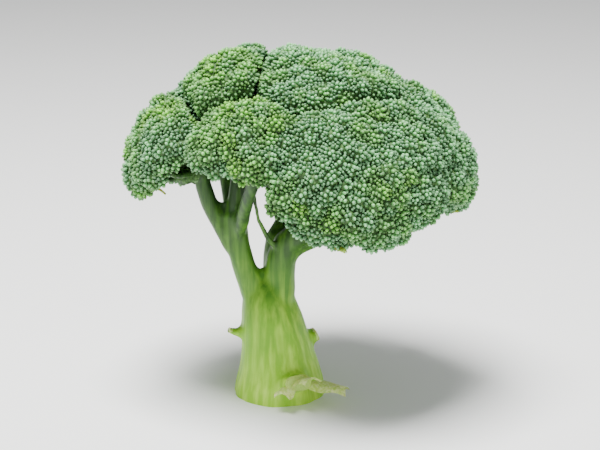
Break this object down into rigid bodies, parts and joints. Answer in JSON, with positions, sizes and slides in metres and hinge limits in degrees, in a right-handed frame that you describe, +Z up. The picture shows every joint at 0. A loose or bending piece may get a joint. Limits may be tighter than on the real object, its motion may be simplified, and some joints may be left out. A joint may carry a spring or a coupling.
{
  "type": "broccoli head",
  "caption": "Fresh head of broccoli that stands on its cut stem: the stem forks into limbs and branches, which carry a tight dome of bud florets.",
  "frame": {"origin": "centre of the cut foot of the main stem, at the level of what the head stands on", "axes": "+Z up through the crown, -Y towards the front, where the gap between the limbs shows, +X to the right, towards the crown's heavier side"},
  "size_m": [0.154, 0.1357, 0.1608],
  "materials": {
    "stem_skin": "waxy, faintly streaked plant skin, pale yellow-green",
    "limb_skin": "waxy plant skin, mid green",
    "flower_buds": "fine closed buds with a dull bluish bloom",
    "leaf_flesh": "moist cut plant flesh, pale yellow-green"
  },
  "bodies": {
    "root": {"main_stem": "stem_skin", "limb_left": "limb_skin", "limb_right": "limb_skin", "limb_back": "limb_skin", "branch_left": "limb_skin", "branch_upper_left": "limb_skin", "branch_front_left": "limb_skin", "branch_front": "limb_skin", "branch_right": "limb_skin", "branch_top": "limb_skin", "branch_back_right": "limb_skin", "branch_back": "limb_skin", "branch_low_back": "limb_skin", "branch_back_left": "limb_skin", "floret_left": "flower_buds", "floret_upper_left": "flower_buds", "floret_front_left": "flower_buds", "floret_front": "flower_buds", "floret_right": "flower_buds", "floret_top": "flower_buds", "floret_back_right": "flower_buds", "floret_back": "flower_buds", "floret_low_back": "flower_buds", "floret_back_left": "flower_buds", "leaf_stump_upper": "leaf_flesh", "leaf_stump_lower": "leaf_flesh", "leaf_stump_right": "leaf_flesh", "leaf_stump_rear": "leaf_flesh"}
  },
  "joints": []
}
